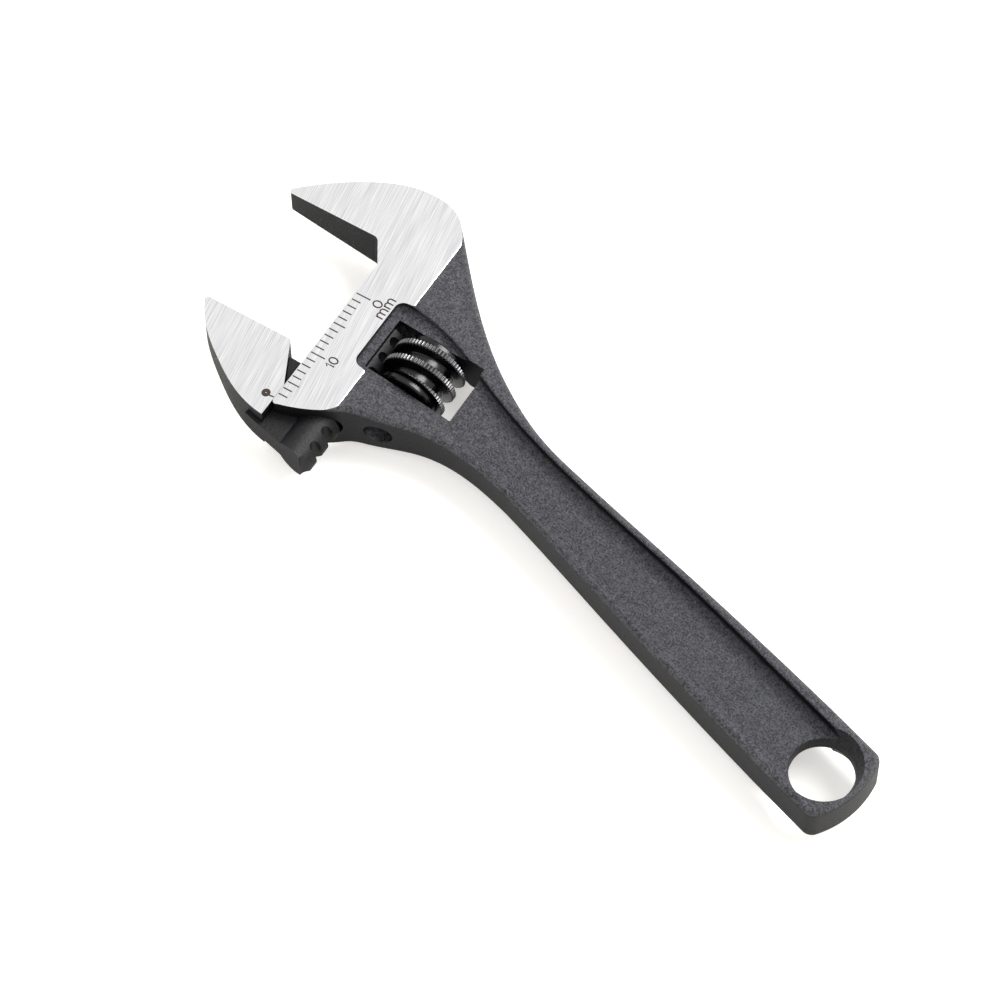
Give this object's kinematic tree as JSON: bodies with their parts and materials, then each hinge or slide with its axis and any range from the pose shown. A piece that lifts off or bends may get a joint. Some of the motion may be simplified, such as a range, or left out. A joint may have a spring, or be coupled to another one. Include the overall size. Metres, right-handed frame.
{
  "type": "adjustable wrench",
  "caption": "Adjustable wrench with a sliding jaw on a toothed rack, moved by a knurled worm in a window of the head, and a panelled handle with a hanging hole.",
  "frame": {"origin": "centre of the hanging hole, on the mid-plane of the handle", "axes": "+X along the handle towards the head, +Z through the thickness along the hanging hole's axis, +Y towards the side where the moving jaw is"},
  "size_m": [0.1082, 0.0375, 0.0098],
  "materials": {
    "forged_steel": "black oxide on the forging, ground bright on the head's faces",
    "jaw_steel": "ground bright on the faces, black oxide elsewhere",
    "blackened_steel": "glossy black oxide",
    "pin_steel": "dark satin",
    "spring_steel": "satin"
  },
  "bodies": {
    "wrench": {"body": "forged_steel", "knurl_pin": "pin_steel", "knurl_spring": "spring_steel"},
    "jaw": {"movable_jaw": "jaw_steel"},
    "worm": {"knurl": "blackened_steel"}
  },
  "joints": [
    {"name": "jaw_slide", "type": "slide", "parent": "wrench", "child": "jaw", "axis": [-0.2588, 0.9659, 0], "range_m": [-0.01793, 0.00005]},
    {"name": "knurl_turn", "type": "hinge", "parent": "wrench", "child": "worm", "pos_m": [0.07242, 0.00023, 0], "axis": [0.2588, -0.9659, 0], "range_deg": [-2600, 10]}
  ],
  "couplings": [
    {"joint": "knurl_turn", "follows": "jaw_slide", "rad_per_m": 2513.3}
  ]
}
